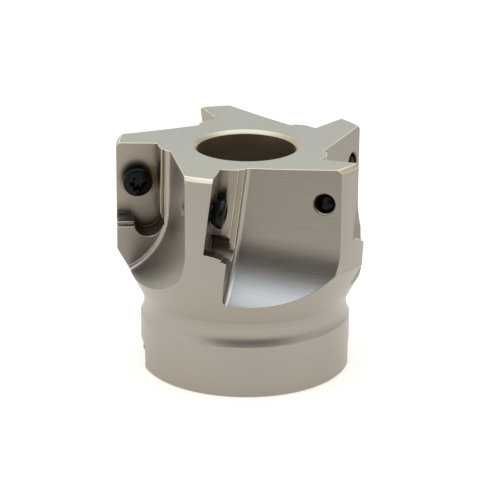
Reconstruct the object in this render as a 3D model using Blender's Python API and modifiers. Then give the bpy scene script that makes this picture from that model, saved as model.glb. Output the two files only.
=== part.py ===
"""Indexable square-shoulder face mill for five screw-on inserts.

The mill stands on its mounting face with the cutting end up. Z is the arbor
axis, X runs along the key slot, and the origin is the mill's centre of mass.
The body is turned from one bar. Each tooth is then milled in the same order
as on the real tool: the gullet, the stepped insert pocket in the gullet's end
wall, the round relief in the pocket's inner corner, and the tapped screw hole
that comes out in the gullet floor of the tooth before it. One insert screw
stays in each seat. All lengths are metres, all angles degrees.
"""
import math

import bmesh
import bpy
from mathutils import Matrix, Vector

# Turned body
BODY_DIAMETER = 0.0488
FRONT_HEIGHT = 0.04288
DISH_ANGLE = 3.0
EDGE_CHAMFER = 0.00065
CONE_ANGLE = 28.0
CONE_FOOT_RISE = 0.00383
NECK_UNDERCUT = 0.00064
NECK_FILLET = 0.005
COLLAR_DIAMETER = 0.03988
COLLAR_HEIGHT = 0.00998
LIP_FILLET = 0.002
BASE_CHAMFER = 0.0004

# Bore, from the mounting face to the front
ARBOR_BORE_DIAMETER = 0.01905
ARBOR_BORE_DEPTH = 0.0206
ARBOR_BORE_CHAMFER = 0.0008
BOLT_HOLE_DIAMETER = 0.0105
COUNTERBORE_DIAMETER = 0.01855
COUNTERBORE_DEPTH = 0.0145
COUNTERBORE_CHAMFER = 0.0007

# Drive key slot across the mounting face
KEY_SLOT_WIDTH = 0.0095
KEY_SLOT_DEPTH = 0.0051
KEY_SLOT_CORNER_RADIUS = 0.002

# Teeth
TOOTH_COUNT = 5
FIRST_TOOTH_AZIMUTH = 184.0
AXIAL_RAKE = 7.0
SEAT_OFFSET = 0.00205

# Insert pocket: a floor (the seat), a side wall and an end wall
POCKET_DEPTH = 0.00444
POCKET_WIDTH = 0.00788
POCKET_LENGTH = 0.01373
POCKET_PLAIN_DEPTH = 0.00175
POCKET_LAND_DEPTH = 0.00342
POCKET_DRAFT_ANGLE = 11.0
POCKET_STEP = 0.00038
RELIEF_DIAMETER = 0.00544
RELIEF_SIDE_INSET = 0.00196
RELIEF_END_INSET = -0.00035
RELIEF_EXTRA_DEPTH = 0.00005

# Gullet
GULLET_DEPTH = 0.0098
GULLET_FLOOR_TILT = 1.7
GULLET_ARC_RADIUS = 0.0136
GULLET_STRAIGHT_LENGTH = 0.0114
GULLET_CORNER_RADIUS = 0.0009

# Insert screw and its tapped hole
SCREW_SIDE_INSET = 0.00383
SCREW_END_INSET = 0.0071
TAPPED_HOLE_DIAMETER = 0.0035
THREAD_CLEARANCE = 0.00025
HOLE_MOUTH_CHAMFER = 0.00035
SCREW_LENGTH = 0.0076
SCREW_HEAD_PROUD = 0.0028
SCREW_HEAD_DIAMETER = 0.0056
SCREW_RIM_HEIGHT = 0.00085
SCREW_DOME_HEIGHT = 0.00045
SCREW_HEAD_HEIGHT = 0.0025
SCREW_NECK_DIAMETER = 0.0042
SCREW_TIP_CHAMFER = 0.0004
SOCKET_SIZE = 0.0033
SOCKET_DEPTH = 0.0014
SOCKET_LOBES = 6
SOCKET_WAIST_RATIO = 0.72

# Facets
BODY_STEPS = 96
SCREW_STEPS = 24
ARC_STEPS = 10
FILLET_STEPS = 6
CORNER_STEPS = 4
LOBE_STEPS = 6
HOLE_SIDES = 24
SHARP_ANGLE = 25.0

# How far a cutter runs past the metal, and what counts as the same place
OVERCUT = 0.004
TOLERANCE = 0.000001

# Height of the centre of mass above the mounting face
ORIGIN_HEIGHT = 0.02135

ROTATION_PER_TOOTH = 2.0 * math.pi / TOOTH_COUNT
POCKET_SIDE_RADIUS = BODY_DIAMETER / 2.0 - POCKET_WIDTH
GULLET_FLOOR_RADIUS = BODY_DIAMETER / 2.0 - GULLET_DEPTH
NECK_RADIUS = COLLAR_DIAMETER / 2.0 - NECK_UNDERCUT
CONE_HEIGHT = (BODY_DIAMETER / 2.0 - NECK_RADIUS) / math.tan(math.radians(CONE_ANGLE))
SHOULDER_HEIGHT = COLLAR_HEIGHT + CONE_FOOT_RISE + CONE_HEIGHT


def clear_scene():
    """Remove what the start-up file holds."""
    for obj in list(bpy.data.objects):
        bpy.data.objects.remove(obj, do_unlink=True)


def new_collection(name):
    collection = bpy.data.collections.new(name)
    bpy.context.scene.collection.children.link(collection)
    return collection


def make_material(name, colour, metallic, roughness):
    """Return a Principled material with the given linear colour."""
    material = bpy.data.materials.new(name)
    material.use_nodes = True
    shader = material.node_tree.nodes["Principled BSDF"]
    shader.inputs["Base Color"].default_value = (*colour, 1.0)
    shader.inputs["Metallic"].default_value = metallic
    shader.inputs["Roughness"].default_value = roughness
    material.diffuse_color = (*colour, 1.0)
    return material


def arc(centre, radius, start, end, steps):
    """Return points on a circular arc, both ends included (degrees)."""
    points = []
    for step in range(steps + 1):
        angle = math.radians(start + (end - start) * step / steps)
        points.append((centre[0] + radius * math.cos(angle), centre[1] + radius * math.sin(angle)))
    return points


def turned_object(name, profile, closed, steps, collection):
    """Turn a profile of (radius, height) points about Z with a Screw modifier."""
    mesh = bpy.data.meshes.new(name)
    vertices = [(radius, 0.0, height) for radius, height in profile]
    edges = [(i, i + 1) for i in range(len(profile) - 1)]
    if closed:
        edges.append((len(profile) - 1, 0))
    mesh.from_pydata(vertices, edges, [])
    obj = bpy.data.objects.new(name, mesh)
    collection.objects.link(obj)
    screw = obj.modifiers.new("Turn", "SCREW")
    screw.axis = "Z"
    screw.angle = 2.0 * math.pi
    screw.steps = steps
    screw.render_steps = steps
    screw.use_merge_vertices = True
    screw.merge_threshold = TOLERANCE
    return obj


def make_cutter(name, bm, placement, cutters):
    """Turn a closed bmesh into a cutter object at the given placement."""
    bmesh.ops.recalc_face_normals(bm, faces=bm.faces)
    mesh = bpy.data.meshes.new(name)
    bm.to_mesh(mesh)
    bm.free()
    cutter = bpy.data.objects.new(name, mesh)
    cutter.matrix_world = placement
    cutter.hide_render = True
    cutter.display_type = "WIRE"
    cutters.objects.link(cutter)
    return cutter


def loft(rings):
    """Return a closed bmesh through rings of equally many points, capped at both ends."""
    bm = bmesh.new()
    loops = [[bm.verts.new(point) for point in ring] for ring in rings]
    count = len(rings[0])
    for lower, upper in zip(loops, loops[1:]):
        for i in range(count):
            j = (i + 1) % count
            bm.faces.new((lower[i], lower[j], upper[j], upper[i]))
    bm.faces.new(loops[0])
    bm.faces.new(loops[-1])
    return bm


def drill(radius_start, radius_end, depth_start, depth_end):
    """Return a drill or countersink along the local Y axis, from one depth to another."""
    bm = bmesh.new()
    bmesh.ops.create_cone(
        bm, cap_ends=True, segments=HOLE_SIDES, radius1=radius_start, radius2=radius_end,
        depth=depth_end - depth_start)
    lay_down = Matrix.Rotation(math.radians(-90.0), 4, "X")
    shift = Matrix.Translation((0.0, (depth_start + depth_end) / 2.0, 0.0))
    bmesh.ops.transform(bm, matrix=shift @ lay_down, verts=bm.verts)
    return bm


def cut(target, cutter):
    boolean = target.modifiers.new(cutter.name, "BOOLEAN")
    boolean.operation = "DIFFERENCE"
    boolean.solver = "EXACT"
    boolean.object = cutter


def front_height(radius):
    """Height of the dished front face at a radius."""
    rim = COUNTERBORE_DIAMETER / 2.0 + COUNTERBORE_CHAMFER
    return FRONT_HEIGHT + (radius - rim) * math.tan(math.radians(DISH_ANGLE))


def seat_frame(tooth):
    """Place a tooth: local X points out, Y off the seat, Z up along the seat.

    The origin lies on the seat's plane, level with the front rim.
    """
    around = Matrix.Rotation(math.radians(FIRST_TOOTH_AZIMUTH) + tooth * ROTATION_PER_TOOTH, 4, "Z")
    offset = Matrix.Translation((0.0, -SEAT_OFFSET, FRONT_HEIGHT))
    rake = Matrix.Rotation(math.radians(-AXIAL_RAKE), 4, "X")
    return around @ offset @ rake


def body_profile():
    """Outline of the turned body, down the outside and back up the bore."""
    body_radius = BODY_DIAMETER / 2.0
    collar_radius = COLLAR_DIAMETER / 2.0
    cone = math.radians(CONE_ANGLE)

    outside = [
        (body_radius - EDGE_CHAMFER, front_height(body_radius - EDGE_CHAMFER)),
        (body_radius, front_height(body_radius) - EDGE_CHAMFER),
        (body_radius, SHOULDER_HEIGHT),
    ]

    # The neck fillet touches the cone and the neck's cylinder
    fillet_radius = NECK_RADIUS + NECK_FILLET
    cone_line = body_radius - SHOULDER_HEIGHT * math.tan(cone)
    fillet_height = (fillet_radius - cone_line - NECK_FILLET / math.cos(cone)) / math.tan(cone)
    outside += arc((fillet_radius, fillet_height), NECK_FILLET, 180.0 - CONE_ANGLE, 180.0, FILLET_STEPS)

    # The lip fillet leaves the neck and ends on the collar's sharp edge
    lip_drop = math.sqrt(LIP_FILLET ** 2 - (LIP_FILLET - NECK_UNDERCUT) ** 2)
    lip_angle = math.degrees(math.asin(lip_drop / LIP_FILLET))
    lip_centre = (NECK_RADIUS + LIP_FILLET, COLLAR_HEIGHT + lip_drop)
    outside += arc(lip_centre, LIP_FILLET, 180.0, 180.0 + lip_angle, CORNER_STEPS)

    outside += [
        (collar_radius, BASE_CHAMFER),
        (collar_radius - BASE_CHAMFER, 0.0),
    ]

    bore_radius = ARBOR_BORE_DIAMETER / 2.0
    counterbore_radius = COUNTERBORE_DIAMETER / 2.0
    web_top = FRONT_HEIGHT - COUNTERBORE_DEPTH
    inside = [
        (bore_radius + ARBOR_BORE_CHAMFER, 0.0),
        (bore_radius, ARBOR_BORE_CHAMFER),
        (bore_radius, ARBOR_BORE_DEPTH),
        (BOLT_HOLE_DIAMETER / 2.0, ARBOR_BORE_DEPTH),
        (BOLT_HOLE_DIAMETER / 2.0, web_top),
        (counterbore_radius, web_top),
        (counterbore_radius, FRONT_HEIGHT - COUNTERBORE_CHAMFER),
        (counterbore_radius + COUNTERBORE_CHAMFER, FRONT_HEIGHT),
    ]
    return outside + inside


def gullet_cutter(tooth, cutters):
    """Gullet: a straight floor that runs out in an arc, square to the pocket wall."""
    floor = GULLET_FLOOR_RADIUS
    above = FRONT_HEIGHT - SHOULDER_HEIGHT
    beyond = BODY_DIAMETER
    arc_centre = (floor + GULLET_ARC_RADIUS, -GULLET_STRAIGHT_LENGTH)
    outline = [(floor, above)]
    outline += arc(arc_centre, GULLET_ARC_RADIUS, 180.0, 270.0, ARC_STEPS)
    outline += [(beyond, arc_centre[1] - GULLET_ARC_RADIUS), (beyond, above)]

    length = BODY_DIAMETER
    drift = -length * math.tan(math.radians(GULLET_FLOOR_TILT))
    near = [(x, POCKET_DEPTH, z) for x, z in outline]
    far = [(x + drift, POCKET_DEPTH + length, z) for x, z in outline]
    bm = loft([near, far])

    # The end mill's corner leaves a fillet where the floor meets the wall
    rounded = []
    for edge in bm.edges:
        start, end = edge.verts
        on_wall = max(start.co.y, end.co.y) < POCKET_DEPTH + TOLERANCE
        on_top = min(start.co.z, end.co.z) > above - TOLERANCE
        on_curve = min(start.co.x, end.co.x) < arc_centre[0] - TOLERANCE
        if on_wall and on_curve and not on_top:
            rounded.append(edge)
    bmesh.ops.bevel(
        bm, geom=rounded, offset=GULLET_CORNER_RADIUS, offset_type="OFFSET", segments=CORNER_STEPS,
        profile=0.5, affect="EDGES", clamp_overlap=False)
    return make_cutter(f"gullet_cutter_{tooth + 1}", bm, seat_frame(tooth), cutters)


def pocket_cutter(tooth, cutters):
    """Insert pocket: plain at the seat, then drafted lands, then a clearance step."""
    draft = math.tan(math.radians(POCKET_DRAFT_ANGLE))
    top = FRONT_HEIGHT - SHOULDER_HEIGHT
    beyond = BODY_DIAMETER
    land_shift = (POCKET_LAND_DEPTH - POCKET_PLAIN_DEPTH) * draft
    step_shift = land_shift + POCKET_STEP
    mouth_depth = POCKET_DEPTH + GULLET_CORNER_RADIUS
    mouth_shift = step_shift + (mouth_depth - POCKET_LAND_DEPTH) * draft

    rings = []
    for depth, shift in (
            (0.0, 0.0),
            (POCKET_PLAIN_DEPTH, 0.0),
            (POCKET_LAND_DEPTH, land_shift),
            (POCKET_LAND_DEPTH, step_shift),
            (mouth_depth, mouth_shift)):
        side = POCKET_SIDE_RADIUS - shift
        end = -POCKET_LENGTH - shift
        rings.append([(side, depth, end), (beyond, depth, end), (beyond, depth, top), (side, depth, top)])
    bm = loft(rings)
    bmesh.ops.remove_doubles(bm, verts=bm.verts, dist=TOLERANCE)
    return make_cutter(f"pocket_cutter_{tooth + 1}", bm, seat_frame(tooth), cutters)


def relief_cutter(tooth, cutters):
    """Round relief that clears the insert's corner at the pocket's inner end."""
    bm = drill(
        RELIEF_DIAMETER / 2.0, RELIEF_DIAMETER / 2.0, -RELIEF_EXTRA_DEPTH, POCKET_DEPTH + OVERCUT)
    centre = (POCKET_SIDE_RADIUS + RELIEF_SIDE_INSET, 0.0, -POCKET_LENGTH + RELIEF_END_INSET)
    placement = seat_frame(tooth) @ Matrix.Translation(centre)
    return make_cutter(f"relief_cutter_{tooth + 1}", bm, placement, cutters)


def screw_placement(tooth):
    """Frame of an insert screw: Y runs out of the seat along the screw."""
    centre = (POCKET_SIDE_RADIUS + SCREW_SIDE_INSET, 0.0, -POCKET_LENGTH + SCREW_END_INSET)
    return seat_frame(tooth) @ Matrix.Translation(centre)


def floor_depth():
    """Depth below a seat at which its screw comes out in the next gullet's floor."""
    axis = screw_placement(0)
    previous = seat_frame(-1).inverted()
    origin = previous @ axis.translation
    direction = previous.to_3x3() @ axis.to_3x3().col[1]
    slope = math.tan(math.radians(GULLET_FLOOR_TILT))
    floor_at_origin = GULLET_FLOOR_RADIUS - (origin.y - POCKET_DEPTH) * slope
    return (floor_at_origin - origin.x) / (direction.x + direction.y * slope)


def screw_hole_cutters(tooth, cutters):
    """Tapped hole through the tooth and the countersink at its far mouth."""
    radius = TAPPED_HOLE_DIAMETER / 2.0
    mouth = floor_depth()
    bore = drill(radius, radius, mouth - OVERCUT, OVERCUT)
    placement = screw_placement(tooth)

    # The countersink stands square to the floor, whatever way the hole leans
    centre = placement @ Vector((0.0, mouth, 0.0))
    floor_normal = Vector((1.0, math.tan(math.radians(GULLET_FLOOR_TILT)), 0.0))
    outward = seat_frame(tooth - 1).to_3x3() @ floor_normal
    square = outward.to_track_quat("Y", "Z").to_matrix().to_4x4()
    sink = drill(
        radius - HOLE_MOUTH_CHAMFER, radius + HOLE_MOUTH_CHAMFER + OVERCUT,
        -2.0 * HOLE_MOUTH_CHAMFER, OVERCUT)
    return [
        make_cutter(f"hole_cutter_{tooth + 1}", bore, placement, cutters),
        make_cutter(f"sink_cutter_{tooth + 1}", sink, Matrix.Translation(centre) @ square, cutters),
    ]


def key_slot_cutter(cutters):
    """Drive slot across the mounting face, with rounded corners along its floor."""
    side = KEY_SLOT_WIDTH / 2.0
    radius = KEY_SLOT_CORNER_RADIUS
    corner = (side - radius, KEY_SLOT_DEPTH - radius)
    outline = arc(corner, radius, 0.0, 90.0, CORNER_STEPS)
    outline += arc((-corner[0], corner[1]), radius, 90.0, 180.0, CORNER_STEPS)
    outline += [(-side, -OVERCUT), (side, -OVERCUT)]
    reach = BODY_DIAMETER
    near = [(-reach, y, z) for y, z in outline]
    far = [(reach, y, z) for y, z in outline]
    return make_cutter("key_slot_cutter", loft([near, far]), Matrix.Identity(4), cutters)


def apply_modifiers(obj):
    """Replace an object's mesh by its evaluated one and shade its round faces."""
    depsgraph = bpy.context.evaluated_depsgraph_get()
    depsgraph.update()
    mesh = bpy.data.meshes.new_from_object(obj.evaluated_get(depsgraph))
    obj.modifiers.clear()
    obj.data = mesh
    mesh.shade_smooth()
    mesh.set_sharp_from_angle(angle=math.radians(SHARP_ANGLE))


def build_body(parts, cutters, material):
    """The one-piece mill body with its bore, key slot, gullets, pockets and holes."""
    body = turned_object("cutter_body", body_profile(), True, BODY_STEPS, parts)
    body.data.materials.append(material)
    for tooth in range(TOOTH_COUNT):
        cut(body, gullet_cutter(tooth, cutters))
    for tooth in range(TOOTH_COUNT):
        cut(body, pocket_cutter(tooth, cutters))
        cut(body, relief_cutter(tooth, cutters))
        for cutter in screw_hole_cutters(tooth, cutters):
            cut(body, cutter)
    cut(body, key_slot_cutter(cutters))
    apply_modifiers(body)
    return body


def screw_profile():
    """Outline of an insert screw along Z, with the seat at zero height."""
    head_radius = SCREW_HEAD_DIAMETER / 2.0
    thread_radius = TAPPED_HOLE_DIAMETER / 2.0 - THREAD_CLEARANCE
    top = SCREW_HEAD_PROUD
    rim_top = top - SCREW_DOME_HEIGHT
    tip = top - SCREW_LENGTH
    dome_radius = (head_radius ** 2 + SCREW_DOME_HEIGHT ** 2) / (2.0 * SCREW_DOME_HEIGHT)
    dome_angle = math.degrees(math.asin(head_radius / dome_radius))
    profile = arc((0.0, top - dome_radius), dome_radius, 90.0, 90.0 - dome_angle, CORNER_STEPS)
    profile += [
        (head_radius, rim_top - SCREW_RIM_HEIGHT),
        (SCREW_NECK_DIAMETER / 2.0, top - SCREW_HEAD_HEIGHT),
        (thread_radius, top - SCREW_HEAD_HEIGHT),
        (thread_radius, tip + SCREW_TIP_CHAMFER),
        (thread_radius - SCREW_TIP_CHAMFER, tip),
        (0.0, tip),
    ]
    return profile


def socket_cutter(cutters):
    """Six-lobed socket in the screw head, along the local Z axis."""
    mean = SOCKET_SIZE * (1.0 + SOCKET_WAIST_RATIO) / 4.0
    swing = SOCKET_SIZE / 2.0 - mean
    count = SOCKET_LOBES * LOBE_STEPS
    outline = []
    for step in range(count):
        angle = 2.0 * math.pi * step / count
        radius = mean + swing * math.cos(SOCKET_LOBES * angle)
        outline.append((radius * math.cos(angle), radius * math.sin(angle)))
    floor = SCREW_HEAD_PROUD - SOCKET_DEPTH
    low = [(x, y, floor) for x, y in outline]
    high = [(x, y, SCREW_HEAD_PROUD + OVERCUT) for x, y in outline]
    return make_cutter("socket_cutter", loft([low, high]), Matrix.Identity(4), cutters)


def build_screws(parts, cutters, material):
    """One insert screw in each seat, all sharing one mesh."""
    first = turned_object("insert_screw_1", screw_profile(), False, SCREW_STEPS, parts)
    first.data.materials.append(material)
    cut(first, socket_cutter(cutters))
    apply_modifiers(first)
    stand_up = Matrix.Rotation(math.radians(-90.0), 4, "X")
    screws = [first]
    for tooth in range(1, TOOTH_COUNT):
        copy = bpy.data.objects.new(f"insert_screw_{tooth + 1}", first.data)
        parts.objects.link(copy)
        screws.append(copy)
    for tooth, screw in enumerate(screws):
        screw.matrix_world = screw_placement(tooth) @ stand_up
    return screws


def main():
    clear_scene()
    parts = new_collection("face_mill")
    cutters = new_collection("face_mill_cutters")
    plated_steel = make_material("nickel_plated_steel", (0.45, 0.42, 0.37), 1.0, 0.38)
    black_steel = make_material("black_oxide_steel", (0.012, 0.012, 0.013), 0.6, 0.35)
    build_body(parts, cutters, plated_steel)
    build_screws(parts, cutters, black_steel)

    # Everything was built up from the mounting face
    lower = Matrix.Translation((0.0, 0.0, -ORIGIN_HEIGHT))
    for obj in list(parts.objects) + list(cutters.objects):
        obj.matrix_world = lower @ obj.matrix_world


main()
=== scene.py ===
"""Studio scene of an indexable square-shoulder face mill.

The frame gives the mill body and its five insert screws. This script replaces
them with finer ones: a body with rounded edges, tool marks and its own finish
on each machined surface, and screws with a real six-lobed socket and thread.
Lengths are metres and angles degrees, unless a docstring says otherwise.
"""
import logging
from dataclasses import dataclass
from enum import Enum

import bmesh
import bpy
import numpy as np
from bpy.types import ID, Material, Mesh, Node, NodeSocket, NodeTree, Object, bpy_prop_collection
from mathutils import Matrix, Vector


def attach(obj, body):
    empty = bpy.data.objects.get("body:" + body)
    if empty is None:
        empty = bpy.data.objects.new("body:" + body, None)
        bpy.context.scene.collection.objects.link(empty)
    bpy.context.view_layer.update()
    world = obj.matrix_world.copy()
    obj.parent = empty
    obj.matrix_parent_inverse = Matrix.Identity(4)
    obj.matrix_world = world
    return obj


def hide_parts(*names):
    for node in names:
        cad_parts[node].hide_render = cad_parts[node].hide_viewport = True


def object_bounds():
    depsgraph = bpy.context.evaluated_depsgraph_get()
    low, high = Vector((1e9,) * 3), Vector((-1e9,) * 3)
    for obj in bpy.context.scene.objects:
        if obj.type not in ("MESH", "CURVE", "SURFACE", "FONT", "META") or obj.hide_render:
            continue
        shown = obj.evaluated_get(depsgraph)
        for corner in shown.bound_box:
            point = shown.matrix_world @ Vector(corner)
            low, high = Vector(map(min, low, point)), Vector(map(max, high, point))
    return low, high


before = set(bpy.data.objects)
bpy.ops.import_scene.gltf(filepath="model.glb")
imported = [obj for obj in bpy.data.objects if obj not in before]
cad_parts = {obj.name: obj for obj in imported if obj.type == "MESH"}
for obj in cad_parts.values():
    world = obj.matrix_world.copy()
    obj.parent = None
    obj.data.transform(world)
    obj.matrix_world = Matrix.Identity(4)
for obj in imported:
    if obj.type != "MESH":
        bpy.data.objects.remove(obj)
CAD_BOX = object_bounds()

logging.basicConfig(level=logging.INFO, format="%(name)s: %(message)s")
LOG = logging.getLogger("face_mill")

MILLIMETRE = 0.001
MICROMETRE = 0.000001
# Height of the mill's origin, its centre of mass, over the mounting face
ORIGIN_HEIGHT = 0.02135
# Sockets of the colour mix node: share, two colours, and the blend that comes out
SHARE, FIRST, SECOND, BLEND = 0, 6, 7, 2
# Divisors smaller than these are taken as this large, so that nothing is divided by zero
SHORTEST_STEP = 1e-9
SMALLEST = 1e-6
# Points this close at a pole are one point
POLE_GAP = 1e-8
# Radius and height of one row of a turned surface, the same all round or one for each angle
Station = tuple[float | np.ndarray, float | np.ndarray]


class Ends(Enum):
    """How a grid surface is closed along its first direction."""

    RING = "joined end to end"
    CAPS = "flat face at both ends"
    POLES = "drawn to a point at both ends"


def linear(code: str) -> tuple[float, float, float, float]:
    """Turn an sRGB hex colour into linear light.

    Each channel c becomes c / 12.92 below 0.04045, otherwise
    ((c + 0.055) / 1.055) to the power 2.4.

    Args:
        code: six hex digits, red first.

    Returns:
        Linear red, green, blue and an alpha of one.
    """
    channels = np.array([int(code[i:i + 2], 16) for i in (0, 2, 4)]) / 255.0
    light = np.where(channels <= 0.04045, channels / 12.92, ((channels + 0.055) / 1.055) ** 2.4)
    return (*light.tolist(), 1.0)


def lit(code: str, strength: float) -> list[float]:
    """Linear light of an sRGB hex colour times a strength, with an alpha of one."""
    return [strength * part for part in linear(code)[:3]] + [1.0]


def add_node(tree: NodeTree, kind: str, settings: dict | None = None,
             links: dict | None = None) -> Node:
    """Add one shader node.

    Args:
        tree: the node tree that gets the node.
        kind: Blender's type name of the node, less the word ShaderNode.
        settings: socket or property name to its value.
        links: input socket name to the output socket that feeds it.

    Returns:
        The new node.
    """
    node = tree.nodes.new(f"ShaderNode{kind}")
    for name, value in (settings or {}).items():
        if isinstance(name, int) or name in node.inputs:
            node.inputs[name].default_value = value
        else:
            setattr(node, name, value)
    for name, source in (links or {}).items():
        tree.links.new(source, node.inputs[name])
    return node


def add_object(name: str, data: ID) -> Object:
    """Put a mesh or camera into the scene.

    Args:
        name: name of the object.
        data: the mesh or camera.

    Returns:
        The object, at the origin.
    """
    thing = bpy.data.objects.new(name, data)
    bpy.context.scene.collection.objects.link(thing)
    return thing


def add_modifier(thing: Object, name: str, kind: str, settings: dict) -> None:
    """Add one modifier.

    Args:
        thing: the object that gets it.
        name: name of the modifier.
        kind: Blender's type name of the modifier.
        settings: property name to its value.
    """
    modifier = thing.modifiers.new(name, kind)
    for key, value in settings.items():
        setattr(modifier, key, value)


def settle(thing: Object) -> None:
    """Replace an object's mesh by the outcome of its modifiers, then drop them.

    Args:
        thing: the object, which gets a new mesh.
    """
    graph = bpy.context.evaluated_depsgraph_get()
    mesh = bpy.data.meshes.new_from_object(thing.evaluated_get(graph))
    thing.modifiers.clear()
    thing.data = mesh


def arc(centre: tuple[float, float], radius: float, start: float, end: float, steps: int) -> np.ndarray:
    """Points on a circular arc, both ends included.

    A point is the centre plus the radius times (cosine, sine) of an angle
    that runs evenly from start to end.

    Args:
        centre: the arc's centre.
        radius: its radius.
        start: first angle in degrees.
        end: last angle in degrees.
        steps: number of equal steps.

    Returns:
        An array of steps + 1 points.
    """
    angle = np.radians(np.linspace(start, end, steps + 1))
    return np.stack([centre[0] + radius * np.cos(angle), centre[1] + radius * np.sin(angle)], axis=1)


def turned_points(radius: np.ndarray, height: np.ndarray, angle: np.ndarray) -> np.ndarray:
    """Points turned about Z: (radius cos angle, radius sin angle, height) over one grid."""
    return np.stack(np.broadcast_arrays(radius * np.cos(angle), radius * np.sin(angle), height), axis=-1)


def full_turn(steps: int) -> np.ndarray:
    """Angles in radians of equal steps round a circle, the first one zero."""
    return np.linspace(0.0, 2.0 * np.pi, steps, endpoint=False)


def surface_mesh(name: str, points: np.ndarray, ends: Ends) -> Mesh:
    """Build a closed surface from a grid of points whose rows are closed loops.

    Face (i, j) joins points (i, j), (i, j + 1), (i + 1, j + 1) and (i + 1, j),
    with j counted round the loop. Caps come last, the first row's before the
    last row's. Poles are end rows of one place, which are merged.

    Args:
        name: name of the mesh.
        points: rows by columns by three coordinates.
        ends: how the first and last row are closed.

    Returns:
        The mesh, with its faces pointing outwards.
    """
    rows, columns = points.shape[:2]
    index = np.arange(rows * columns).reshape(rows, columns)
    if ends is Ends.RING:
        index = np.vstack([index, index[:1]])
    across = np.roll(index, -1, axis=1)
    quads = np.stack([index[:-1], across[:-1], across[1:], index[1:]], axis=-1).reshape(-1, 4)
    faces = quads.tolist()
    if ends is not Ends.RING:
        faces += [index[0, ::-1].tolist(), index[-1].tolist()]
    mesh = bpy.data.meshes.new(name)
    mesh.from_pydata(points.reshape(-1, 3), [], faces)
    work = bmesh.new()
    work.from_mesh(mesh)
    if ends is Ends.POLES:
        bmesh.ops.remove_doubles(work, verts=work.verts, dist=POLE_GAP)
        bmesh.ops.dissolve_degenerate(work, edges=work.edges, dist=POLE_GAP)
    bmesh.ops.recalc_face_normals(work, faces=work.faces)
    if work.calc_volume(signed=True) < 0.0:
        bmesh.ops.reverse_faces(work, faces=work.faces)
    work.to_mesh(mesh)
    work.free()
    return mesh


def place(points: np.ndarray, matrix: Matrix) -> np.ndarray:
    """Carry points through a placement: the rotation times each point, plus the shift."""
    turn = np.array(matrix.to_3x3())
    return points @ turn.T + np.array(matrix.translation)


def read(items: bpy_prop_collection, name: str, parts: int = 1) -> np.ndarray:
    """Read one property of all vertices, faces or corners of a mesh.

    Args:
        items: the mesh's vertices, polygons, loops or corner normals.
        name: the property's name.
        parts: 1 for a whole number, 3 for a vector.

    Returns:
        A whole number per item, or a row per item.
    """
    values = np.empty(len(items) * parts, np.int32 if parts == 1 else float)
    items.foreach_get(name, values)
    return values if parts == 1 else values.reshape(-1, parts)


def unit(rows: np.ndarray) -> np.ndarray:
    """Each row divided by its length."""
    return rows / np.maximum(np.linalg.norm(rows, axis=1), SHORTEST_STEP)[:, None]


def within(first: np.ndarray, second: np.ndarray, angle: float | np.ndarray) -> np.ndarray:
    """Which rows of unit vectors lie within an angle: their dot product exceeds its cosine."""
    return (first * second).sum(axis=1) > np.cos(np.radians(angle))


def sloped(outward: np.ndarray, slope: np.ndarray) -> np.ndarray:
    """Unit vectors that rise from level ones by a slope: its cosine outwards, its sine up."""
    slope = np.radians(slope)
    return np.column_stack([np.cos(slope)[:, None] * outward, np.sin(slope)])


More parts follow.
